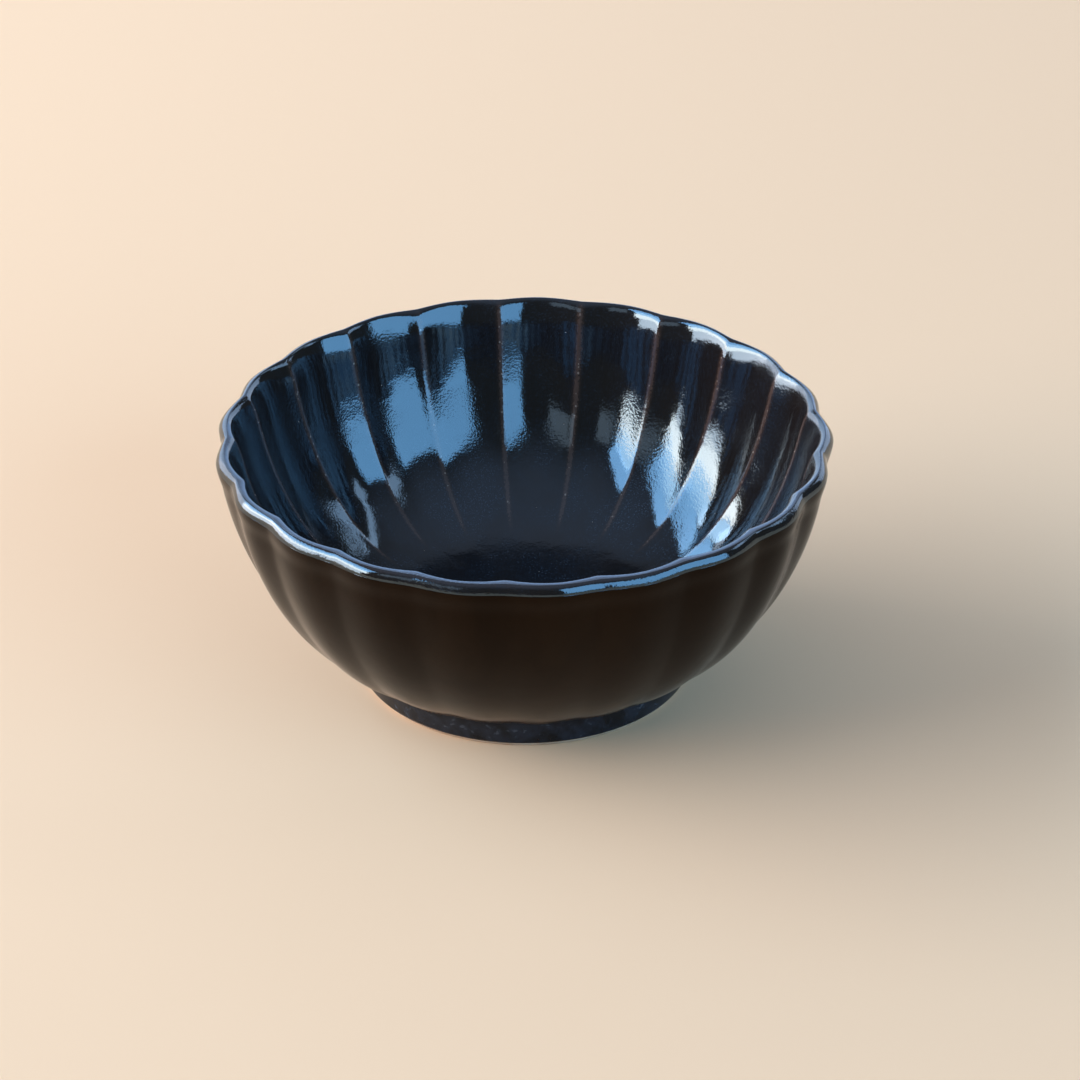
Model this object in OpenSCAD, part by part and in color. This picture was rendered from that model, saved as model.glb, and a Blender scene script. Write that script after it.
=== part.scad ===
// Small fluted stoneware dish for soy sauce: a pressed bowl on a foot ring, under an iron glaze

/* [Bowl] */
// Diameter over the outer lobes, at the lip
bowl_d = 90; // [80:1:104]
// Height from the table to the crest of the lip
bowl_h = 38.4; // [33:0.2:44]
// Fired clay between the underside and the middle of the floor
floor_t = 2.4; // [1.8:0.1:3.4]
// How full the outside is low down: a higher number gives a squarer belly
outer_fullness = 3.5; // [3.1:0.1:3.9]
// How soon the outside starts to lean in below the lip: a lower number leans in sooner
outer_sweep = 1.5; // [1.36:0.02:1.6]
// How full the inside is low down
inner_fullness = 4.45; // [4.1:0.05:4.8]
// How soon the inside starts to lean in below the lip
inner_sweep = 1.32; // [1.24:0.02:1.4]

/* [Flutes] */
// Number of flutes round the wall
flute_count = 21; // [17:1:25]
// Height of the sharp ribs over the channels between them, at the lip
rib_h = 1.2; // [0.8:0.1:1.5]
// Diameter at which the ribs run out into the plain floor
rib_end_d = 48; // [42:1:54]
// Diameter from which the ribs are no longer held back by the floor
rib_full_d = 72; // [66:1:78]
// How much lower the ribs would stand at the level of the floor than at the lip
rib_fade_share = 0.65; // [0.4:0.05:0.85]
// How round the channels are: 2 is a round bottom, a lower number draws it to a soft crease
channel_round = 1.8; // [1.5:0.05:2]
// Swell of the outer lobes over the valleys between them, at the lip
lobe_h = 1.1; // [0.6:0.1:1.4]
// Swell of the outer lobes where they meet the foot
lobe_foot_h = 0.35; // [0.2:0.05:0.6]

/* [Lip] */
// Thickness of the lip, from the ribs to the top of the outer lobes
lip_t = 3.9; // [3.5:0.1:4.5]
// How far the lip stands proud of the wall below it
lip_swell = 0.45; // [0.2:0.05:0.6]
// Height below the lip's edge over which it eases back to the wall
lip_swell_h = 3.5; // [2.5:0.1:5]
// Height of the lip's rounding on its outer side, from its edge to its crest
lip_rise = 1.4; // [1:0.1:1.8]
// Height of the longer rounding on its inner side, from where it leaves the wall to the crest
lip_in_rise = 4; // [3:0.2:5]
// How far out across the lip its crest lies
crest_share = 0.6; // [0.45:0.05:0.7]
// How far the crest moves out where a rib comes up to it
crest_shift = 0.4; // [0:0.05:0.6]

/* [Foot ring] */
// Diameter of the foot where it stands on the table
foot_d = 49; // [44:0.2:54]
// Height of the foot ring, up to the wall of the bowl
foot_h = 4.6; // [3.8:0.1:5.6]
// How much further out the foot reaches at its top than on the table
foot_flare = 0.5; // [0.2:0.1:0.9]
// Width of the foot ring's clay on the table, between its bevels
foot_land = 2.4; // [1.8:0.1:3.4]
// How much further in the ring's inner side reaches at its top than on the table
foot_splay = 1; // [0.5:0.1:1.6]
// Bevel along both edges of the ring's standing face
foot_bevel = 0.35; // [0.2:0.05:0.5]

/* [Glaze] */
// Thickness of the glaze where it lies thick
glaze_t = 0.35; // [0.25:0.05:0.45]
// Thickness of the glaze on the crests of the ribs and the lip, where it runs thin
glaze_thin_t = 0.18; // [0.1:0.02:0.24]
// Bare clay that is wiped clean above the table
bare_h = 0.6; // [0.5:0.1:1]

/* [Hidden] */

// Facets: steps across one flute (even), bands on the inside, over the lip and on the outside
flute_steps = 4;
inner_bands = 9;
lip_bands = 6;
outer_bands = 8;
round_fn = 96;

steps = flute_count * flute_steps;
outer_r = bowl_d / 2;
edge_z = bowl_h - lip_rise;
floor_z = foot_h + floor_t + glaze_t;
wall_r = outer_r - lip_swell;
rib_r = outer_r - lip_t;
inner_depth = edge_z - floor_z;
foot_r = foot_d / 2;
foot_top_r = foot_r + foot_flare;
clay_foot_r = foot_r - glaze_t;
ring_in_r = clay_foot_r - foot_land - 2 * foot_bevel;

// The inside of the wall runs up into the lip: the angle of its last row
lip_angle = asin(pow((lip_in_rise - lip_rise) / inner_depth, inner_sweep / 2));

// The outside ends on the foot: the angle of its last row, and the depth that brings it there
wall_end_r = foot_top_r + lobe_foot_h;
wall_end_angle = acos(pow(wall_end_r / wall_r, outer_fullness / 2));
outer_depth = (edge_z - foot_h) / pow(sin(wall_end_angle), 2 / outer_sweep);

// Distance from the middle of the flute, from 0 there to 1 at the rib
function off_middle(j) = let (s = 2 * (j % flute_steps) / flute_steps) s > 1 ? 2 - s : s;
// Channels meet in a sharp rib; lobes are round on top and in their valleys
function channel_share(j) = 1 - pow(off_middle(j), channel_round);
function lobe_share(j) = (1 - pow(off_middle(j), 2) + pow(cos(90 * off_middle(j)), 2)) / 2;
function smooth(s) = let (c = max(0, min(1, s))) c * c * (3 - 2 * c);

// How far the flutes are developed at a point of the wall, from 0 on the floor to 1 at the lip
function flute_share(p) =
    smooth((2 * p.x - rib_end_d) / (rib_full_d - rib_end_d))
    * (1 - rib_fade_share * (edge_z - p.y) / inner_depth);

// Line of the wall as a squared-off ellipse: angle 0 at the edge of the lip, 90 at the axis
function wall_point(angle, r, depth, fullness, sweep) =
    [r * pow(cos(angle), 2 / fullness), edge_z - depth * pow(sin(angle), 2 / sweep)];
function wall_normal(point, r, depth, fullness, sweep) =
    let (v = [fullness / r * pow(point.x / r, fullness - 1),
              -sweep / depth * pow((edge_z - point.y) / depth, sweep - 1)])
    v / norm(v);
lip_start = wall_normal(wall_point(lip_angle, rib_r, inner_depth, inner_fullness, inner_sweep),
                        rib_r, inner_depth, inner_fullness, inner_sweep);
lip_lean = -lip_start.y / lip_start.x;

// Glaze on the inside: full in the channels and on the floor, thin on the ribs
function inner_glaze_at(p, j) =
    glaze_t - (glaze_t - glaze_thin_t) * flute_share(p) * (1 - channel_share(j));

// Point of the inside at an angle of the line, under an amount of glaze (0 gives its surface)
function inner_point(angle, j, cover) =
    let (p = wall_point(angle, rib_r, inner_depth, inner_fullness, inner_sweep),
         n = wall_normal(p, rib_r, inner_depth, inner_fullness, inner_sweep))
    p + n * (rib_h * flute_share(p) * channel_share(j) + cover * inner_glaze_at(p, j));

// Point over the lip, from the wall at turn 0 over the crest at 90 to its outer edge at 180
function lip_point(turn, j, cover) =
    let (low = inner_point(lip_angle, j, cover),
         r_out = outer_r - lobe_h * (1 - lobe_share(j)) - cover * glaze_t,
         top = bowl_h - cover * glaze_thin_t,
         crest = low.x + (r_out - low.x) * crest_share + crest_shift * (1 - lobe_share(j)),
         above = [low.x + lip_lean * (top - low.y), top],
         t = turn / 90)
    turn < 90
        ? pow(1 - t, 2) * low + 2 * t * (1 - t) * above + pow(t, 2) * [crest, top]
        : [crest - (r_out - crest) * cos(turn), edge_z + (top - edge_z) * sin(turn)];

// Point of the outside: the lip eases back to the wall, and the lobes shrink on the way down to the foot
function outer_point(angle, j, cover) =
    let (p = wall_point(angle, wall_r, outer_depth, outer_fullness, outer_sweep),
         n = wall_normal(p, wall_r, outer_depth, outer_fullness, outer_sweep),
         down = edge_z - p.y,
         lobe = lobe_h - (lobe_h - lobe_foot_h) * down / (edge_z - foot_h))
    [p.x + lip_swell * smooth(1 - down / lip_swell_h) - lobe * (1 - lobe_share(j)) - cover * glaze_t / n.x,
     p.y];

// Rows of points round the axis, in the order that the clay's section is drawn
function inner_rows(cover) = [for (i = [1:inner_bands])
    [for (j = [0:steps - 1]) inner_point(90 - (90 - lip_angle) * i / inner_bands, j, cover)]];
function lip_rows(cover) = [for (i = [1:lip_bands])
    [for (j = [0:steps - 1]) lip_point(180 * i / lip_bands, j, cover)]];
function outer_rows(cover) = [for (i = [1:outer_bands])
    [for (j = [0:steps - 1]) outer_point(wall_end_angle * i / outer_bands, j, cover)]];
function back_to_front(rows) = [for (i = [len(rows) - 1:-1:0]) rows[i]];

// Skin through rows of points, each turned about the axis: closed on itself, or with a pole at each end
module loft(rows, poles) {
    count = len(rows);
    bands = len(poles) == 0 ? count : count - 1;
    points = [for (row = rows) for (j = [0:steps - 1])
        let (a = 90 + 360 * j / steps) [row[j].x * cos(a), row[j].x * sin(a), row[j].y]];
    tips = [for (z = poles) [0, 0, z]];
    // Each four-sided patch is split along its shorter diagonal, so that skins that meet split alike
    sides = [for (i = [0:bands - 1]) for (j = [0:steps - 1])
        let (a = i * steps + j, b = i * steps + (j + 1) % steps,
             c = (i + 1) % count * steps + (j + 1) % steps, d = (i + 1) % count * steps + j)
        each norm(points[a] - points[c]) < norm(points[b] - points[d]) ?
            [[a, b, c], [a, c, d]] : [[a, b, d], [b, c, d]]];
    fans = len(poles) == 0 ? [] : [for (j = [0:steps - 1])
        let (k = (j + 1) % steps, last = (count - 1) * steps)
        each [[count * steps, k, j], [count * steps + 1, last + j, last + k]]];
    polyhedron(concat(points, tips), concat(sides, fans), convexity = 10);
}

module bowl_body() {
    color("#b09a84")
        loft(concat(inner_rows(1), lip_rows(1), outer_rows(1)), [floor_z - glaze_t, foot_h]);
}

module inner_glaze() {
    color("#17161b")
        loft(concat(inner_rows(0), lip_rows(0), back_to_front(lip_rows(1)), back_to_front(inner_rows(1))),
             [floor_z, floor_z - glaze_t]);
}

module outer_glaze() {
    top = [lip_rows(0)[lip_bands - 1]];
    under = [lip_rows(1)[lip_bands - 1]];
    color("#2a1f19")
        loft(concat(top, outer_rows(0), back_to_front(outer_rows(1)), under), []);
}

// Sides of the foot ring's clay at a height: they lean out and in towards the bowl
function ring_out_at(z) = clay_foot_r + foot_flare * z / foot_h;
function ring_in_at(z) = ring_in_r - foot_splay * z / foot_h;

module foot_ring() {
    color("#b09a84")
        rotate_extrude($fn = round_fn)
            polygon([
                [ring_in_r + foot_bevel, 0],
                [clay_foot_r - foot_bevel, 0],
                [ring_out_at(foot_bevel), foot_bevel],
                [ring_out_at(foot_h), foot_h],
                [ring_in_at(foot_h), foot_h],
                [ring_in_at(foot_bevel), foot_bevel]]);
}

module foot_glaze() {
    color("#20242e")
        rotate_extrude($fn = round_fn)
            polygon([
                [ring_out_at(bare_h), bare_h],
                [ring_out_at(bare_h) + glaze_t, bare_h],
                [ring_out_at(foot_h) + glaze_t, foot_h],
                [ring_out_at(foot_h), foot_h]]);
}

module base_glaze() {
    color("#20242e")
        rotate_extrude($fn = round_fn)
            polygon([
                [0, foot_h - glaze_t],
                [ring_in_at(foot_h - glaze_t) - glaze_t, foot_h - glaze_t],
                [ring_in_at(bare_h) - glaze_t, bare_h],
                [ring_in_at(bare_h), bare_h],
                [ring_in_at(foot_h), foot_h],
                [0, foot_h]]);
}

bowl_body();
foot_ring();
inner_glaze();
outer_glaze();
foot_glaze();
base_glaze();
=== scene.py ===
# Small fluted soy sauce dish in black-brown iron glaze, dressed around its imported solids
import math
import bmesh
import bpy
from mathutils import Matrix, Vector, noise


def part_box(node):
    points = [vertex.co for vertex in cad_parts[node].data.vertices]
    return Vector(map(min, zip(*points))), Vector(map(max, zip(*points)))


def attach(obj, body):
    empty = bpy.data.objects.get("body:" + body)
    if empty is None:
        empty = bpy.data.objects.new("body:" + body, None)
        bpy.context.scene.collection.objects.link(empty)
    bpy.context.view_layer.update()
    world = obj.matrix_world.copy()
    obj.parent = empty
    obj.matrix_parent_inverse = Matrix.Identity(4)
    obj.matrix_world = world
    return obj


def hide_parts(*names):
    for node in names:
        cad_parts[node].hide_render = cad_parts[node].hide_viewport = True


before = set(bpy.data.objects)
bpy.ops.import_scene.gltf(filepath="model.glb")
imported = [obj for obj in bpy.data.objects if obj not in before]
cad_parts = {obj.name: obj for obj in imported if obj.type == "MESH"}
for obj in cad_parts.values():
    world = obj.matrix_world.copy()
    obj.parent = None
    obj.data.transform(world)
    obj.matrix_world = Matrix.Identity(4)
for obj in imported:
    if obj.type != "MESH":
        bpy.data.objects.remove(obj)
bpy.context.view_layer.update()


# The shapes are made in millimetres and finished in metres
perMetre = 1000


# Sizes shared by the pieces, in millimetres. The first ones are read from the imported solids.
def readSizes():
    inLow, inHigh = [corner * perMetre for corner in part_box("inner_glaze")]
    ringLow, ringHigh = [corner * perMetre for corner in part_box("foot_ring")]
    footLow, footHigh = [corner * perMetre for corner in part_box("foot_glaze")]
    return {
        "radius": inHigh.y,        # the middle of a lobe points along +Y
        "height": inHigh.z,
        "wellBottom": inLow.z,     # underside of the glaze on the floor
        "footHeight": ringHigh.z,
        "footTop": footHigh.y,     # radius of the glazed foot under the wall
        "bareHeight": footLow.z,
    }


dish = readSizes()
dish.update({
    "flutes": 21, "ribHeight": 1.2, "ribEnd": 24.0, "ribFull": 36.0, "ribFade": 0.65, "channelRound": 1.8,
    "lobe": 1.1, "lobeAtFoot": 0.35,
    "innerFullness": 4.45, "innerSweep": 1.32, "outerFullness": 3.5, "outerSweep": 1.5,
    "lipWidth": 3.9, "lipRise": 1.4, "lipInRise": 4.6, "lipSwell": 0.45, "lipSwellHeight": 3.5,
    "crestShare": 0.57, "crestShift": 0.4,
    "glaze": 0.35, "glazeThin": 0.18,
    "footFlare": 0.5, "footLand": 2.4, "footSplay": 1.0, "footBevel": 0.35,
    "ribSoftness": 0.065, "valleySoftness": 0.14,   # rounding of the cusps, as shares of half a flute
})
dish["edge"] = dish["height"] - dish["lipRise"]
dish["floor"] = dish["wellBottom"] + dish["glaze"]
dish["innerRadius"] = dish["radius"] - dish["lipWidth"]
dish["wallRadius"] = dish["radius"] - dish["lipSwell"]
dish["innerDepth"] = dish["edge"] - dish["floor"]
dish["lipAngle"] = math.asin(((dish["lipInRise"] - dish["lipRise"]) / dish["innerDepth"])
                             ** (dish["innerSweep"] / 2))
dish["wallEnd"] = dish["footTop"] + dish["lobeAtFoot"]
dish["wallEndAngle"] = math.acos((dish["wallEnd"] / dish["wallRadius"]) ** (dish["outerFullness"] / 2))
dish["outerDepth"] = ((dish["edge"] - dish["footHeight"])
                      / math.sin(dish["wallEndAngle"]) ** (2 / dish["outerSweep"]))

# How finely the skins are divided
mesh = {
    "perFlute": 28, "crowding": 0.78,          # columns of a flute, drawn together towards its rib
    "innerRows": 56, "lipRows": 32, "outerRows": 56,
    "underShare": 0.5,                         # the hidden side of a skin has fewer rows
    "seamStep": 0.03,                          # a narrow row on each side of the seam between the coats
    "lookBack": 0.01,                          # step in angle that shows how the wall leans under the lip
    "weld": 1e-4, "sharpAngle": 48,
}

# How far the hand of the maker shows, in millimetres or shares
hand = {
    "wander": 0.007, "wanderScale": 2.6, "wanderSeed": 5,                  # ribs drift sideways, in radians
    "uneven": 0.10, "unevenScale": 3.1,                                    # channels differ in depth
    "swerve": 0.22, "swerveScale": 0.045, "swerveSeed": (3.1, 7.7, 1.3),   # the wall leaves its round
    "ripple": 0.035, "rippleScale": 0.21, "rippleSeed": (11, 4, 2),        # the molten glaze's own waves
    "calm": 0.5,                               # lobes lie flatter at the front
    "shoulder": 1.6,                           # roundness of the lip's outer edge: 2 is a true ellipse
    "browDrop": 0.45, "browShare": 0.3,        # the lip's top leans inward a little before its crest
    "flatFrom": 0.15, "flatness": 8.0,         # towards the front the lip's top grows flat,
    "lean": 0.22, "crestOut": 0.55,            # leans inward as a whole, and has its crest further out
}


def smoothStep(share):
    share = min(1.0, max(0.0, share))
    return share * share * (3 - 2 * share)


# The flutes: how open the channel and the lobe are, a share of half a flute away from their middle
def channelShare(away, softness, power=2.0):
    return 1 - abs(1 - math.hypot(1 - away, softness)) ** power


def lobeShare(away):
    soft = 1 - math.hypot(1 - away, dish["valleySoftness"])
    return (channelShare(away, dish["valleySoftness"]) + math.cos(math.pi / 2 * soft) ** 2) / 2


def fluteShare(point):
    grown = smoothStep((point.x - dish["ribEnd"]) / (dish["ribFull"] - dish["ribEnd"]))
    return grown * (1 - dish["ribFade"] * (dish["edge"] - point.y) / dish["innerDepth"])


# The wall's line is a squared-off ellipse: angle 0 at the edge of the lip, a quarter turn at the axis
def wallLine(angle, radius, depth, fullness, sweep):
    r = radius * max(0.0, math.cos(angle)) ** (2 / fullness)
    z = dish["edge"] - depth * math.sin(angle) ** (2 / sweep)
    normal = Vector((fullness / radius * (r / radius) ** (fullness - 1),
                     -sweep / depth * ((dish["edge"] - z) / depth) ** (sweep - 1)))
    return Vector((r, z)), normal.normalized()


def innerLine(angle):
    return wallLine(angle, dish["innerRadius"], dish["innerDepth"], dish["innerFullness"], dish["innerSweep"])


def outerLine(angle):
    return wallLine(angle, dish["wallRadius"], dish["outerDepth"], dish["outerFullness"], dish["outerSweep"])


def innerPoint(angle, away, cover, depthShare=1.0, front=0.5):
    point, normal = innerLine(angle)
    flute = fluteShare(point)
    open_ = channelShare(away, dish["ribSoftness"], dish["channelRound"])
    thickness = dish["glaze"] - (dish["glaze"] - dish["glazeThin"]) * flute * (1 - open_)
    return point + normal * (dish["ribHeight"] * depthShare * flute * open_ + cover * thickness)


# Front is 0 at the far side and 1 at the near one, where the lobes lie flatter
def lobeDepth(front):
    return dish["lobe"] * (1 - hand["calm"] * max(0.0, 2 * front - 1) ** 2)


# The lip leaves the wall in a long curve up to its crest, and ends in a short round one
def lipPoint(turn, away, cover, depthShare=1.0, front=0.5):
    low = innerPoint(dish["lipAngle"], away, cover, depthShare)
    valley = (1 - lobeShare(away)) * lobeDepth(front)
    outer = dish["radius"] - valley - cover * dish["glaze"]
    top = dish["height"] - cover * dish["glazeThin"]
    flatShare = smoothStep((front - hand["flatFrom"]) / (1 - hand["flatFrom"]))
    crest = low.x + (outer - low.x) * dish["crestShare"] + dish["crestShift"] * valley / dish["lobe"]
    crest += hand["crestOut"] * flatShare
    if turn > math.pi / 2:
        out, up = [max(0.0, part) ** (2 / hand["shoulder"]) for part in (-math.cos(turn), math.sin(turn))]
        return Vector((crest + (outer - crest) * out, dish["edge"] + (top - dish["edge"]) * up))
    before = innerPoint(dish["lipAngle"] + mesh["lookBack"], away, cover, depthShare)
    lean = (low.x - before.x) / (low.y - before.y)
    rise = top - low.y
    knee = low + Vector((lean, 1)) * (rise - hand["browDrop"])
    brow = Vector((crest + (knee.x - crest) * hand["browShare"], top))
    t = turn / (math.pi / 2)
    curved = low * (1 - t) ** 3 + Vector((crest, top)) * t ** 3
    curved += knee * (3 * t * (1 - t) ** 2) + brow * (3 * t * t * (1 - t))
    square = ((1 - t) ** hand["flatness"] + t ** hand["flatness"]) ** (1 / hand["flatness"])
    inside, up = (1 - t) / square, t / square
    corner = low.x + lean * rise
    flat = Vector((crest + (corner - crest) * inside + lean * rise * (up - 1),
                   low.y + rise * up - hand["lean"] * inside ** 2 * up))
    return curved.lerp(flat, flatShare)


def outerPoint(angle, away, cover, depthShare=1.0, front=0.5):
    point, normal = outerLine(angle)
    down = dish["edge"] - point.y
    lobe = lobeDepth(front)
    lobe -= (lobe - dish["lobeAtFoot"]) * down / (dish["edge"] - dish["footHeight"])
    swell = dish["lipSwell"] * smoothStep(1 - down / dish["lipSwellHeight"])
    r = point.x + swell - lobe * (1 - lobeShare(away)) - cover * dish["glaze"] / normal.x
    return Vector((r, point.y))


# Angles that divide a line into steps of even length
def evenAngles(line, first, last, count):
    fine = 1500
    angles = [first + (last - first) * i / fine for i in range(fine + 1)]
    points = [line(angle)[0] for angle in angles]
    lengths = [0.0]
    for before, after in zip(points, points[1:]):
        lengths.append(lengths[-1] + (after - before).length)
    result, at = [], 0
    for i in range(count + 1):
        goal = lengths[-1] * i / count
        while at < fine and lengths[at + 1] < goal:
            at += 1
        span = max(1e-9, lengths[at + 1] - lengths[at]) if at < fine else 1.0
        result.append(angles[at] + (angles[min(at + 1, fine)] - angles[at]) * (goal - lengths[at]) / span)
    return result


# The three take the same values, so that any vertex can be placed by the name of its zone
zones = {"inner": innerPoint, "lip": lipPoint, "outer": outerPoint}
zoneNames = list(zones)


def innerStations(cover, rows):
    angles = evenAngles(innerLine, math.pi / 2, dish["lipAngle"], rows)
    return [("inner", angle, cover) for angle in angles[:-1]]


def lipStations(cover, rows):
    turns = [math.pi * i / rows for i in range(rows + 1)]
    turns.insert(-1, math.pi - mesh["seamStep"])
    return [("lip", turn, cover) for turn in turns]


def outerStations(cover, rows):
    angles = evenAngles(outerLine, 0, dish["wallEndAngle"], rows)
    angles.insert(1, angles[1] * mesh["seamStep"])
    return [("outer", angle, cover) for angle in angles]


# The maker's hand: the same drift for clay and glaze, so that they stay seated on each other
def drift(point):
    fade = smoothStep((point.z - dish["footHeight"]) / (dish["height"] - dish["footHeight"]))
    field = noise.noise(point * hand["swerveScale"] + Vector(hand["swerveSeed"]))
    return 1 - hand["swerve"] * fade * (0.5 + 0.5 * field) / dish["radius"]


def placeVertex(vert, zone, along, cover):
    turn = math.atan2(vert.co.x, vert.co.y)
    pitch = 2 * math.pi / dish["flutes"]
    flute = round(turn / pitch)
    side = (turn / pitch - flute) * 2
    away = abs(side) + mesh["crowding"] * math.sin(math.pi * abs(side)) / math.pi
    theta = (flute + math.copysign(away, side) / 2) * pitch
    ring = Vector((math.cos(theta), math.sin(theta), 0))
    depthShare = 1 - hand["uneven"] * (0.5 + 0.5 * noise.noise(ring * hand["unevenScale"]))
    section = zones[zone](along, away, cover, depthShare, 0.5 - 0.5 * math.cos(theta))
    lift = section.y / dish["height"]
    drawn = ring * hand["wanderScale"] + Vector((0, hand["wanderSeed"], lift))
    theta += hand["wander"] * noise.noise(drawn)
    point = Vector((section.x * math.sin(theta), section.x * math.cos(theta), section.y))
    scale = drift(point)
    vert.co = Vector((point.x * scale, point.y * scale, point.z))
    return away, section


# Skin through a line of stations, spun about the axis and then given its flutes
def spinSkin(stations, closed):
    bm = bmesh.new()
    zoneLayer = bm.verts.layers.int.new("zone")
    alongLayer = bm.verts.layers.float.new("along")
    coverLayer = bm.verts.layers.float.new("cover")
    for name, along, cover in stations:
        section = zones[name](along, 0.0, cover)
        vert = bm.verts.new((0, section.x, section.y))
        vert[zoneLayer] = zoneNames.index(name)
        vert[alongLayer] = along
        vert[coverLayer] = cover
    line = list(bm.verts)
    edges = [bm.edges.new(pair) for pair in zip(line, line[1:] + line[:1] if closed else line[1:])]
    bmesh.ops.spin(bm, geom=line + edges, cent=(0, 0, 0), axis=(0, 0, 1), angle=2 * math.pi,
                   steps=dish["flutes"] * mesh["perFlute"], use_merge=True)
    bmesh.ops.remove_doubles(bm, verts=bm.verts, dist=mesh["weld"])
    thinLayer = bm.verts.layers.float.new("thin")
    for vert in bm.verts:
        zone, along, cover = zoneNames[vert[zoneLayer]], vert[alongLayer], vert[coverLayer]
        if math.hypot(vert.co.x, vert.co.y) < mesh["weld"]:
            continue
        away, section = placeVertex(vert, zone, along, cover)
        vert[thinLayer] = thinShare(zone, along, away, section)
    return bm


# Where the melt ran thin: along the ribs and over the crest of the lip
thinning = {
    "ribWidth": 0.105,                         # share of half a flute
    "growBefore": 3, "growLength": 6,          # millimetres along the radius, about the rib's lower end
    "crest": 1.9, "crestSpread": 0.28,         # turn of the lip where it lies, and how far it spreads
    "crestShare": 0.4,
}


def thinShare(zone, along, away, section):
    if zone == "inner":
        onRib = math.exp(-((1 - away) / thinning["ribWidth"]) ** 2)
        grown = (section.x - dish["ribEnd"] + thinning["growBefore"]) / thinning["growLength"]
        return onRib * smoothStep(grown)
    if zone == "lip":
        onCrest = math.exp(-((along - thinning["crest"]) / thinning["crestSpread"]) ** 2)
        onRib = math.exp(-((1 - away) / thinning["ribWidth"]) ** 2) * max(0, math.cos(along))
        return max(onCrest * thinning["crestShare"], onRib)
    return 0.0


# The molten glaze's waves, on its free side only, never outside the section's own line
def rippleSkin(bm):
    cover = bm.verts.layers.float["cover"]
    bm.normal_update()
    for vert in bm.verts:
        if vert[cover] > 0:
            continue
        wave = 0.5 + 0.5 * noise.noise(vert.co * hand["rippleScale"] + Vector(hand["rippleSeed"]))
        vert.co -= vert.normal * hand["ripple"] * wave


def finishPiece(bm, name, material, node):
    bmesh.ops.recalc_face_normals(bm, faces=bm.faces)
    if "cover" in bm.verts.layers.float:
        rippleSkin(bm)
    bmesh.ops.scale(bm, vec=(1 / perMetre, 1 / perMetre, 1 / perMetre), verts=bm.verts)
    for face in bm.faces:
        face.smooth = True
    data = bpy.data.meshes.new(name)
    bm.to_mesh(data)
    bm.free()
    for layer in ("zone", "along", "cover"):
        if layer in data.attributes:
            data.attributes.remove(data.attributes[layer])
    data.set_sharp_from_angle(angle=math.radians(mesh["sharpAngle"]))
    data.materials.append(material)
    piece = bpy.data.objects.new(name, data)
    bpy.context.scene.collection.objects.link(piece)
    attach(piece, "root")
    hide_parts(node)
    print("made", name, len(data.polygons), "faces")


# Nodes of the shared effects
def newGroup(name, inputs, outputs):
    group = bpy.data.node_groups.new(name, "ShaderNodeTree")
    for label, kind, value in inputs:
        socket = group.interface.new_socket(label, in_out="INPUT", socket_type="NodeSocket" + kind)
        if value is not None:
            socket.default_value = value
    for label, kind in outputs:
        group.interface.new_socket(label, in_out="OUTPUT", socket_type="NodeSocket" + kind)
    return group, group.nodes.new("NodeGroupInput"), group.nodes.new("NodeGroupOutput")


def addNode(tree, kind, links=None, **settings):
    node = tree.nodes.new("ShaderNode" + kind)
    for key, value in settings.items():
        setattr(node, key, value)
    for socket, source in (links or {}).items():
        if isinstance(source, bpy.types.NodeSocket):
            tree.links.new(source, node.inputs[socket])
        else:
            node.inputs[socket].default_value = source
    return node


def mixColours(tree, factor, first, second):
    node = addNode(tree, "Mix", data_type="RGBA")
    for index, source in ((0, factor), (6, first), (7, second)):
        if isinstance(source, bpy.types.NodeSocket):
            tree.links.new(source, node.inputs[index])
        else:
            node.inputs[index].default_value = source
    return node.outputs[2]


def addMath(tree, operation, first, second=0.0, third=0.0):
    return addNode(tree, "Math", {0: first, 1: second, 2: third}, operation=operation).outputs[0]


def addNoise(tree, position, scale, detail=2.0, roughness=0.5, distortion=0.0):
    links = {"Vector": position, "Scale": scale, "Detail": detail, "Roughness": roughness,
             "Distortion": distortion}
    return addNode(tree, "TexNoise", links).outputs[0]


def stepRange(tree, value, low, high, toLow=0.0, toHigh=1.0):
    links = {"Value": value, "From Min": low, "From Max": high, "To Min": toLow, "To Max": toHigh}
    return addNode(tree, "MapRange", links, interpolation_type="SMOOTHSTEP").outputs[0]


# Skin of the melt: fine orange peel that comes and goes in patches, over slow waves
peelShape = {
    "patches": {"detail": 3.0}, "patchSteps": {"low": 0.42, "high": 0.62},
    "grain": {"detail": 1.5, "roughness": 0.55}, "waves": {"scale": 420.0, "detail": 1.0},
}


def makePeel():
    group, entry, exit_ = newGroup("glazePeel", [
        ("Position", "Vector", None), ("Grain", "Float", 2300.0), ("Patches", "Float", 110.0),
        ("Calm", "Float", 0.25), ("Waves", "Float", 0.6)], [("Height", "Float"), ("Patch", "Float")])
    position = entry.outputs["Position"]
    patches = addNoise(group, position, entry.outputs["Patches"], **peelShape["patches"])
    patch = stepRange(group, patches, **peelShape["patchSteps"])
    patch = addMath(group, "MAXIMUM", patch, entry.outputs["Calm"])
    grain = addNoise(group, position, entry.outputs["Grain"], **peelShape["grain"])
    waves = addNoise(group, position, **peelShape["waves"])
    waves = addMath(group, "MULTIPLY", waves, entry.outputs["Waves"])
    height = addMath(group, "ADD", addMath(group, "MULTIPLY", grain, patch), waves)
    group.links.new(height, exit_.inputs["Height"])
    group.links.new(patch, exit_.inputs["Patch"])
    return group


# A few small round spots: pinholes, or specks of another colour
spotShape = {"smallest": 0.4, "softFrom": 0.6}


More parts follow.
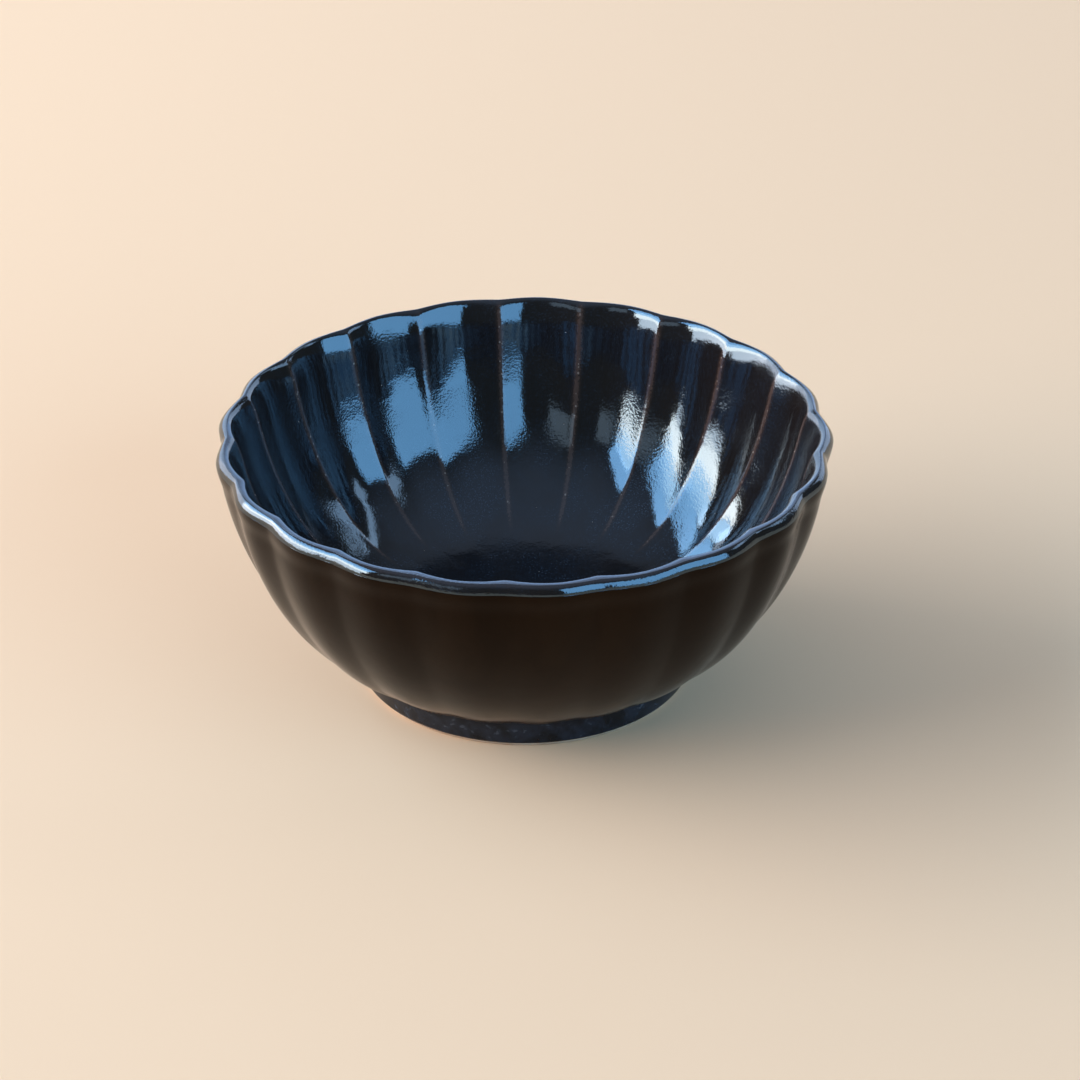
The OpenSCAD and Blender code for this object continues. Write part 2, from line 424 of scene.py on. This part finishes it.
def makeSpots():
    group, entry, exit_ = newGroup("glazeSpots", [
        ("Position", "Vector", None), ("Scale", "Float", 400.0), ("Size", "Float", 0.12),
        ("Share", "Float", 0.03)], [("Mask", "Float")])
    links = {"Vector": entry.outputs["Position"], "Scale": entry.outputs["Scale"]}
    cells = addNode(group, "TexVoronoi", links)
    channels = addNode(group, "SeparateColor", {"Color": cells.outputs["Color"]})
    chosen = addMath(group, "LESS_THAN", channels.outputs[0], entry.outputs["Share"])
    share = stepRange(group, channels.outputs[1], 0, 1, spotShape["smallest"], 1)
    size = addMath(group, "MULTIPLY", entry.outputs["Size"], share)
    near = addMath(group, "DIVIDE", cells.outputs["Distance"], size)
    spot = stepRange(group, near, spotShape["softFrom"], 1.0, 1.0, 0.0)
    group.links.new(addMath(group, "MULTIPLY", spot, chosen), exit_.inputs["Mask"])
    return group


# The glaze breaks to another colour where it ran thin, with a ragged edge
breakShape = {"noise": {"detail": 2.0, "roughness": 0.6}, "middle": 0.5, "steps": {"low": 0.5, "high": 0.95}}


def makeBreak():
    group, entry, exit_ = newGroup("glazeBreak", [
        ("Position", "Vector", None), ("Thin", "Float", 0.0), ("Ragged", "Float", 0.5),
        ("Grain", "Float", 1300.0), ("Thick Colour", "Color", (0, 0, 0, 1)),
        ("Thin Colour", "Color", (0.1, 0.05, 0.03, 1))], [("Colour", "Color")])
    coarse = addNoise(group, entry.outputs["Position"], entry.outputs["Grain"], **breakShape["noise"])
    centred = addMath(group, "SUBTRACT", coarse, breakShape["middle"])
    shift = addMath(group, "MULTIPLY", centred, entry.outputs["Ragged"])
    mask = stepRange(group, addMath(group, "ADD", entry.outputs["Thin"], shift), **breakShape["steps"])
    colour = mixColours(group, mask, entry.outputs["Thick Colour"], entry.outputs["Thin Colour"])
    group.links.new(colour, exit_.inputs["Colour"])
    return group


# Clouds and runs in the colour, drawn out along the fall of the melt
cloudShape = {"detail": 4.0, "roughness": 0.6, "distortion": 0.3}


def makeClouds():
    group, entry, exit_ = newGroup("glazeClouds", [
        ("Position", "Vector", None), ("Scale", "Float", 120.0), ("Fall", "Float", 0.3),
        ("Low", "Float", 0.4), ("High", "Float", 0.65)], [("Mask", "Float")])
    stretch = addNode(group, "CombineXYZ", {0: 1.0, 1: 1.0, 2: entry.outputs["Fall"]})
    drawn = addNode(group, "VectorMath", {0: entry.outputs["Position"], 1: stretch.outputs[0]},
                    operation="MULTIPLY")
    clouds = addNoise(group, drawn.outputs[0], entry.outputs["Scale"], **cloudShape)
    mask = stepRange(group, clouds, entry.outputs["Low"], entry.outputs["High"])
    group.links.new(mask, exit_.inputs["Mask"])
    return group


groups = {"peel": makePeel(), "spots": makeSpots(), "break": makeBreak(), "clouds": makeClouds()}


def placeGroup(tree, name, **values):
    node = tree.nodes.new("ShaderNodeGroup")
    node.node_tree = groups[name]
    for key, source in values.items():
        socket = node.inputs[key.replace("_", " ")]
        if isinstance(source, bpy.types.NodeSocket):
            tree.links.new(source, socket)
        else:
            socket.default_value = source
    return node


def newMaterial(name, ior, tint):
    material = bpy.data.materials.new(name)
    material.use_nodes = True
    tree = material.node_tree
    shader = tree.nodes["Principled BSDF"]
    shader.inputs["IOR"].default_value = ior
    shader.inputs["Specular Tint"].default_value = (*tint, 1)
    position = tree.nodes.new("ShaderNodeTexCoord").outputs["Object"]
    return material, tree, shader, position


def bumpFrom(tree, shader, height, distance):
    bump = addNode(tree, "Bump", {"Height": height, "Distance": distance, "Strength": 1.0})
    tree.links.new(bump.outputs["Normal"], shader.inputs["Normal"])


# Heights in the looks are metres above the table, as the materials see them
innerGlazeLook = {
    "ior": 1.8, "tint": (0.55, 0.80, 1.0),
    "black": (0.0080, 0.0056, 0.0046, 1), "slate": (0.0066, 0.0078, 0.0110, 1),
    "crystal": (0.032, 0.049, 0.074, 1), "umber": (0.0200, 0.0125, 0.0098, 1),
    "rust": (0.054, 0.034, 0.028, 1), "cream": (0.36, 0.30, 0.26, 1),
    "clouds": {"Scale": 95.0, "Fall": 0.35, "Low": 0.34, "High": 0.62},
    "hazeSteps": {"low": 0.006, "high": 0.030, "toLow": 1.0, "toHigh": 0.28},
    "seeds": {"scale": 4200.0, "detail": 2.0, "roughness": 0.6}, "seedSteps": {"low": 0.53, "high": 0.70},
    "umberSteps": {"low": 0.06, "high": 0.7}, "break": {"Ragged": 1.2, "Grain": 2400.0},
    "dots": {"Scale": 1700.0, "Size": 0.38, "Share": 0.55}, "dotSteps": {"low": 0.75, "high": 0.98},
    "specks": {"Scale": 800.0, "Size": 0.10, "Share": 0.06},
    "dotShare": 0.62, "speckShare": 0.6, "pitDepth": 1.5,
    "peel": {"Grain": 2900.0, "Patches": 95.0, "Calm": 0.3, "Waves": 0.8},
    "rough": 0.06, "roughPatch": 0.13, "relief": 0.000036,
}


def makeInnerGlaze():
    look = innerGlazeLook
    material, tree, shader, position = newMaterial("inner_glaze", look["ior"], look["tint"])
    thin = addNode(tree, "Attribute", attribute_name="thin").outputs["Fac"]
    height = addNode(tree, "SeparateXYZ", {0: position}).outputs[2]
    clouds = placeGroup(tree, "clouds", Position=position, **look["clouds"])
    hazy = addMath(tree, "MULTIPLY", clouds.outputs["Mask"], stepRange(tree, height, **look["hazeSteps"]))
    body = mixColours(tree, hazy, look["black"], look["slate"])
    seeds = stepRange(tree, addNoise(tree, position, **look["seeds"]), **look["seedSteps"])
    body = mixColours(tree, addMath(tree, "MULTIPLY", seeds, hazy), body, look["crystal"])
    body = mixColours(tree, stepRange(tree, thin, **look["umberSteps"]), body, look["umber"])
    broken = placeGroup(tree, "break", Position=position, Thin=thin, Thick_Colour=body,
                        Thin_Colour=look["rust"], **look["break"])
    dots = placeGroup(tree, "spots", Position=position, **look["dots"])
    onRib = addMath(tree, "MULTIPLY", dots.outputs["Mask"], stepRange(tree, thin, **look["dotSteps"]))
    specks = placeGroup(tree, "spots", Position=position, **look["specks"]).outputs["Mask"]
    pale = addMath(tree, "MAXIMUM", addMath(tree, "MULTIPLY", onRib, look["dotShare"]),
                   addMath(tree, "MULTIPLY", specks, look["speckShare"]))
    colour = mixColours(tree, pale, broken.outputs["Colour"], look["cream"])
    tree.links.new(colour, shader.inputs["Base Color"])
    peel = placeGroup(tree, "peel", Position=position, **look["peel"])
    rough = stepRange(tree, peel.outputs["Patch"], 0.0, 1.0, look["rough"], look["roughPatch"])
    tree.links.new(rough, shader.inputs["Roughness"])
    pits = addMath(tree, "MULTIPLY", specks, look["pitDepth"])
    bumpFrom(tree, shader, addMath(tree, "SUBTRACT", peel.outputs["Height"], pits), look["relief"])
    return material


outerGlazeLook = {
    "ior": 1.22, "tint": (1.0, 0.62, 0.38),
    "black": (0.0018, 0.0009, 0.0005, 1), "brown": (0.0050, 0.0024, 0.0011, 1),
    "gold": (0.024, 0.011, 0.004, 1), "cream": (0.26, 0.22, 0.18, 1),
    "goldTop": 0.0125, "goldFoot": 0.0048, "goldRagged": 0.003,
    "runs": {"Scale": 130.0, "Fall": 0.16, "Low": 0.38, "High": 0.68},
    "blotches": {"Scale": 210.0, "Fall": 0.6, "Low": 0.3, "High": 0.7},
    "specks": {"Scale": 260.0, "Size": 0.09, "Share": 0.035},
    "peel": {"Grain": 1500.0, "Patches": 120.0, "Calm": 0.4, "Waves": 1.0},
    "rough": 0.15, "roughRuns": 0.26, "relief": 0.000009,
}


def makeOuterGlaze():
    look = outerGlazeLook
    material, tree, shader, position = newMaterial("outer_glaze", look["ior"], look["tint"])
    height = addNode(tree, "SeparateXYZ", {0: position}).outputs[2]
    runs = placeGroup(tree, "clouds", Position=position, **look["runs"])
    body = mixColours(tree, runs.outputs["Mask"], look["black"], look["brown"])
    blotches = placeGroup(tree, "clouds", Position=position, **look["blotches"])
    edge = addMath(tree, "MULTIPLY_ADD", blotches.outputs["Mask"], look["goldRagged"], look["goldFoot"])
    above = addMath(tree, "SUBTRACT", height, edge)
    band = stepRange(tree, above, 0.0, look["goldTop"] - look["goldFoot"], 1.0, 0.0)
    golden = mixColours(tree, band, body, look["gold"])
    specks = placeGroup(tree, "spots", Position=position, **look["specks"])
    colour = mixColours(tree, specks.outputs["Mask"], golden, look["cream"])
    tree.links.new(colour, shader.inputs["Base Color"])
    rough = stepRange(tree, runs.outputs["Mask"], 0.0, 1.0, look["rough"], look["roughRuns"])
    tree.links.new(rough, shader.inputs["Roughness"])
    peel = placeGroup(tree, "peel", Position=position, **look["peel"])
    bumpFrom(tree, shader, peel.outputs["Height"], look["relief"])
    return material


footGlazeLook = {
    "ior": 1.3, "tint": (0.86, 0.93, 1.0),
    "night": (0.0060, 0.0062, 0.0075, 1), "slate": (0.0150, 0.0185, 0.027, 1),
    "haze": (0.042, 0.054, 0.072, 1),
    "clouds": {"Scale": 260.0, "Fall": 1.0, "Low": 0.36, "High": 0.66},
    "flecks": {"Scale": 900.0, "Fall": 1.0, "Low": 0.56, "High": 0.72},
    "peel": {"Grain": 1400.0, "Patches": 150.0, "Calm": 0.5, "Waves": 1.2},
    "rough": 0.22, "roughHaze": 0.42, "relief": 0.000016,
}


def makeFootGlaze():
    look = footGlazeLook
    material, tree, shader, position = newMaterial("foot_glaze", look["ior"], look["tint"])
    clouds = placeGroup(tree, "clouds", Position=position, **look["clouds"])
    body = mixColours(tree, clouds.outputs["Mask"], look["night"], look["slate"])
    flecks = placeGroup(tree, "clouds", Position=position, **look["flecks"])
    haze = addMath(tree, "MULTIPLY", flecks.outputs["Mask"], clouds.outputs["Mask"])
    tree.links.new(mixColours(tree, haze, body, look["haze"]), shader.inputs["Base Color"])
    rough = stepRange(tree, haze, 0.0, 1.0, look["rough"], look["roughHaze"])
    tree.links.new(rough, shader.inputs["Roughness"])
    peel = placeGroup(tree, "peel", Position=position, **look["peel"])
    bumpFrom(tree, shader, peel.outputs["Height"], look["relief"])
    return material


clayLook = {
    "ior": 1.45, "tint": (1, 1, 1),
    "pale": (0.47, 0.37, 0.28, 1), "warm": (0.36, 0.25, 0.17, 1), "grit": (0.12, 0.08, 0.055, 1),
    "clouds": {"Scale": 200.0, "Fall": 1.0, "Low": 0.35, "High": 0.65},
    "grits": {"Scale": 1100.0, "Size": 0.28, "Share": 0.12},
    "grain": {"scale": 1900.0, "detail": 3.0, "roughness": 0.65},
    "rough": 0.8, "roughWorn": 0.66, "relief": 0.00004,
}


def makeClay():
    look = clayLook
    material, tree, shader, position = newMaterial("clay", look["ior"], look["tint"])
    clouds = placeGroup(tree, "clouds", Position=position, **look["clouds"])
    body = mixColours(tree, clouds.outputs["Mask"], look["pale"], look["warm"])
    grits = placeGroup(tree, "spots", Position=position, **look["grits"]).outputs["Mask"]
    tree.links.new(mixColours(tree, grits, body, look["grit"]), shader.inputs["Base Color"])
    rough = stepRange(tree, clouds.outputs["Mask"], 0.0, 1.0, look["rough"], look["roughWorn"])
    tree.links.new(rough, shader.inputs["Roughness"])
    grain = addNoise(tree, position, **look["grain"])
    bumpFrom(tree, shader, addMath(tree, "SUBTRACT", grain, grits), look["relief"])
    return material


innerGlaze = makeInnerGlaze()
outerGlaze = makeOuterGlaze()
footGlaze = makeFootGlaze()
clay = makeClay()
print("materials made")


# The fired wall and floor under the glaze
def makeBowlBody():
    rows = round(mesh["innerRows"] * mesh["underShare"])
    stations = innerStations(1, rows) + lipStations(1, round(mesh["lipRows"] * mesh["underShare"]))
    stations += outerStations(1, round(mesh["outerRows"] * mesh["underShare"]))[1:]
    bm = spinSkin(stations, closed=False)
    rim = [edge for edge in bm.edges if edge.is_boundary]
    bmesh.ops.holes_fill(bm, edges=rim, sides=0)
    finishPiece(bm, "bowlBody", clay, "bowl_body")


# Glaze inside and over the lip: out along its free side, back along the clay
def makeInnerCoat():
    under = innerStations(1, round(mesh["innerRows"] * mesh["underShare"]))
    under += lipStations(1, round(mesh["lipRows"] * mesh["underShare"]))
    stations = innerStations(0, mesh["innerRows"]) + lipStations(0, mesh["lipRows"]) + under[::-1]
    bm = spinSkin(stations, closed=False)
    finishPiece(bm, "innerCoat", innerGlaze, "inner_glaze")


# Glaze on the outside, from the lip's outer edge down to the foot
def makeOuterCoat():
    under = outerStations(1, round(mesh["outerRows"] * mesh["underShare"]))
    stations = outerStations(0, mesh["outerRows"]) + under[::-1]
    bm = spinSkin(stations, closed=True)
    finishPiece(bm, "outerCoat", outerGlaze, "outer_glaze")


# Round pieces of the foot: a closed outline of radius and height, spun about the axis
foot = {
    "ringSteps": 256,
    "cornerAngle": 0.5,                                # radians of bend from which an edge is a corner
    "worn": 0.12, "wornSteps": 3, "wornReach": 0.01,   # edges of the bare clay, rubbed round
    "rollTall": 1.4, "rollSteps": 5,                   # height of a coat's end, in thicknesses of the glaze
    "wellCorner": 1.1, "wellSteps": 6,                 # glaze gathers in the corner of the well
}


def spinOutline(outline):
    bm = bmesh.new()
    line = [bm.verts.new((0, r, z)) for r, z in outline]
    edges = [bm.edges.new(pair) for pair in zip(line, line[1:] + line[:1])]
    bmesh.ops.spin(bm, geom=line + edges, cent=(0, 0, 0), axis=(0, 0, 1), angle=2 * math.pi,
                   steps=foot["ringSteps"], use_merge=True)
    bmesh.ops.remove_doubles(bm, verts=bm.verts, dist=mesh["weld"])
    bmesh.ops.recalc_face_normals(bm, faces=bm.faces)
    return bm


def ringOut(z):
    return dish["footTop"] - dish["glaze"] - dish["footFlare"] * (1 - z / dish["footHeight"])


def ringIn(z):
    low = ringOut(0) - dish["footLand"] - 2 * dish["footBevel"]
    return low - dish["footSplay"] * z / dish["footHeight"]


def makeFootRing():
    bevel, top = dish["footBevel"], dish["footHeight"]
    bm = spinOutline([(ringIn(0) + bevel, 0), (ringOut(0) - bevel, 0), (ringOut(bevel), bevel),
                      (ringOut(top), top), (ringIn(top), top), (ringIn(bevel), bevel)])
    low = [edge for edge in bm.edges if edge.verts[0].co.z < bevel + foot["wornReach"]]
    worn = [edge for edge in low if edge.calc_face_angle(0) > foot["cornerAngle"]
            and abs(edge.verts[0].co.z - edge.verts[1].co.z) < mesh["weld"]]
    bmesh.ops.bevel(bm, geom=worn, offset=foot["worn"], segments=foot["wornSteps"], profile=0.5,
                    affect="EDGES", material=-1)
    finishPiece(bm, "footRing", clay, "foot_ring")


# The lower end of a coat is a soft roll, where the glaze drew back from the wiped clay
def rollOut(outward, clayAt):
    points = []
    for i in range(foot["rollSteps"] + 1):
        turn = math.pi / 2 * i / foot["rollSteps"]
        z = dish["bareHeight"] + dish["glaze"] * foot["rollTall"] * (1 - math.cos(turn))
        points.append((clayAt(z) + outward * dish["glaze"] * math.sin(turn), z))
    return points


def makeFootCoat():
    top = dish["footHeight"]
    outline = rollOut(1, ringOut) + [(ringOut(top) + dish["glaze"], top), (ringOut(top), top)]
    finishPiece(spinOutline(outline), "footCoat", footGlaze, "foot_glaze")


def makeBaseCoat():
    top, glaze, corner = dish["footHeight"], dish["glaze"], foot["wellCorner"]
    cornerR, cornerZ = ringIn(top - glaze) - glaze - corner, top - glaze - corner
    turns = [math.pi / 2 * i / foot["wellSteps"] for i in range(foot["wellSteps"] + 1)]
    gathered = [(cornerR + corner * math.cos(turn), cornerZ + corner * math.sin(turn)) for turn in turns]
    outline = rollOut(-1, ringIn) + gathered + [(0, top - glaze), (0, top), (ringIn(top), top)]
    finishPiece(spinOutline(outline), "baseCoat", footGlaze, "base_glaze")


makeBowlBody()
makeInnerCoat()
makeOuterCoat()
makeFootRing()
makeFootCoat()
makeBaseCoat()
print("pieces made")


# A direction from the dish: azimuth 0 is the front (-Y), positive to the right
def direction(azimuth, elevation):
    a, e = math.radians(azimuth), math.radians(elevation)
    return Vector((math.sin(a) * math.cos(e), -math.cos(a) * math.cos(e), math.sin(e)))


def turnedTo(place, forward, roll=0.0):
    right = forward.cross(Vector((0, 0, 1))).normalized()
    up = right.cross(forward)
    turned = Matrix((right, up, -forward)).transposed().to_4x4()
    return Matrix.Translation(place) @ turned @ Matrix.Rotation(math.radians(roll), 4, "Z")


# The photograph's view, as fitted to the dish's outlines; lengths in metres
view = {"azimuth": 3.4, "elevation": 29.707, "roll": -0.219, "distance": 0.72, "lens": 163.58,
        "sensor": 36.0, "near": 0.01, "far": 20, "aimRight": 0.002214, "aimHeight": 0.02055}


def makeCamera():
    data = bpy.data.cameras.new("viewCamera")
    data.lens, data.sensor_width = view["lens"], view["sensor"]
    data.clip_start, data.clip_end = view["near"], view["far"]
    camera = bpy.data.objects.new("viewCamera", data)
    bpy.context.scene.collection.objects.link(camera)
    away = direction(view["azimuth"], view["elevation"])
    a = math.radians(view["azimuth"])
    aim = Vector((view["aimRight"] * math.cos(a), view["aimRight"] * math.sin(a), view["aimHeight"]))
    camera.matrix_world = turnedTo(aim + away * view["distance"], -away, view["roll"])
    bpy.context.scene.camera = camera


# Soft panels like windows round a table: the angles they cover as seen from the dish, and their brightness
panels = {
    "leftSkyHigh": {"azimuth": (-126, -60), "elevation": (36, 49), "radiance": (2.9, 4.8, 7.0)},
    "leftSkyLow": {"azimuth": (-116, -59), "elevation": (26, 36), "radiance": (6.0, 7.6, 9.2)},
    "leftWindow": {"azimuth": (-112, -55), "elevation": (16, 26), "radiance": (15.3, 12.6, 11.0)},
    "leftSill": {"azimuth": (-112, -60), "elevation": (1, 16), "radiance": (8.6, 7.6, 7.4)},
    "leftCorner": {"azimuth": (-138, -112), "elevation": (2, 30), "radiance": (3.4, 3.3, 3.6)},
    "rightWindow": {"azimuth": (24, 76), "elevation": (3, 40), "radiance": (1.76, 3.33, 5.0)},
    "backWindowLow": {"azimuth": (94, 107), "elevation": (27, 38), "radiance": (1.8, 2.2, 2.8)},
    "backWindowHigh": {"azimuth": (109, 136), "elevation": (37, 43), "radiance": (1.8, 2.2, 2.8)},
    "frontLight": {"azimuth": (-42, -20), "elevation": (23, 37), "radiance": (0.85, 0.85, 0.9)},
    "backLeft": {"azimuth": (-170, -138), "elevation": (1, 34), "radiance": (1.5, 1.9, 2.5)},
    "backWallLow": {"azimuth": (160, 190), "elevation": (1, 25), "radiance": (0.85, 1.25, 2.0)},
    "backWallHigh": {"azimuth": (160, 190), "elevation": (25, 40), "radiance": (0.65, 0.8, 1.15)},
    "backRight": {"azimuth": (128, 160), "elevation": (1, 28), "radiance": (1.45, 1.7, 2.2)},
}
panelDistance = 1.3


def makeLights():
    for name, panel in panels.items():
        (left, right), (low, high) = panel["azimuth"], panel["elevation"]
        data = bpy.data.lights.new(name, "AREA")
        data.shape = "RECTANGLE"
        data.size = 2 * panelDistance * math.tan(math.radians((right - left) / 2))
        data.size_y = 2 * panelDistance * math.tan(math.radians((high - low) / 2))
        strongest = max(panel["radiance"])
        data.color = [part / strongest for part in panel["radiance"]]
        data.energy = strongest * math.pi * data.size * data.size_y
        lamp = bpy.data.objects.new(name, data)
        bpy.context.scene.collection.objects.link(lamp)
        away = direction((left + right) / 2, (low + high) / 2)
        lamp.matrix_world = turnedTo(away * panelDistance, -away)
        lamp.visible_camera = False


# A dim room that grows lighter overhead
room = {"low": (0.08, 0.075, 0.07, 1), "high": (0.36, 0.36, 0.44, 1), "steps": {"low": 0.5, "high": 1.0}}


def makeRoom():
    world = bpy.data.worlds.new("room")
    world.use_nodes = True
    bpy.context.scene.world = world
    tree = world.node_tree
    toward = tree.nodes.new("ShaderNodeTexCoord").outputs["Generated"]
    up = addNode(tree, "SeparateXYZ", {0: toward}).outputs[2]
    colour = mixColours(tree, stepRange(tree, up, **room["steps"]), room["low"], room["high"])
    tree.links.new(colour, tree.nodes["Background"].inputs["Color"])
    tree.nodes["Background"].inputs["Strength"].default_value = 1.0


floorLook = {"size": 6.0, "colour": (0.73, 0.52, 0.34, 1), "rough": 0.9, "gloss": 0.0}


def makeFloor():
    bm = bmesh.new()
    bmesh.ops.create_grid(bm, x_segments=1, y_segments=1, size=floorLook["size"] / 2)
    data = bpy.data.meshes.new("floor")
    bm.to_mesh(data)
    bm.free()
    material = bpy.data.materials.new("floor")
    material.use_nodes = True
    shader = material.node_tree.nodes["Principled BSDF"]
    shader.inputs["Base Color"].default_value = floorLook["colour"]
    shader.inputs["Roughness"].default_value = floorLook["rough"]
    shader.inputs["Specular IOR Level"].default_value = floorLook["gloss"]
    data.materials.append(material)
    floor = bpy.data.objects.new("floor", data)
    bpy.context.scene.collection.objects.link(floor)


makeCamera()
makeLights()
makeRoom()
makeFloor()
bpy.context.scene.view_settings.view_transform = "Standard"
print("camera, lights and floor made")
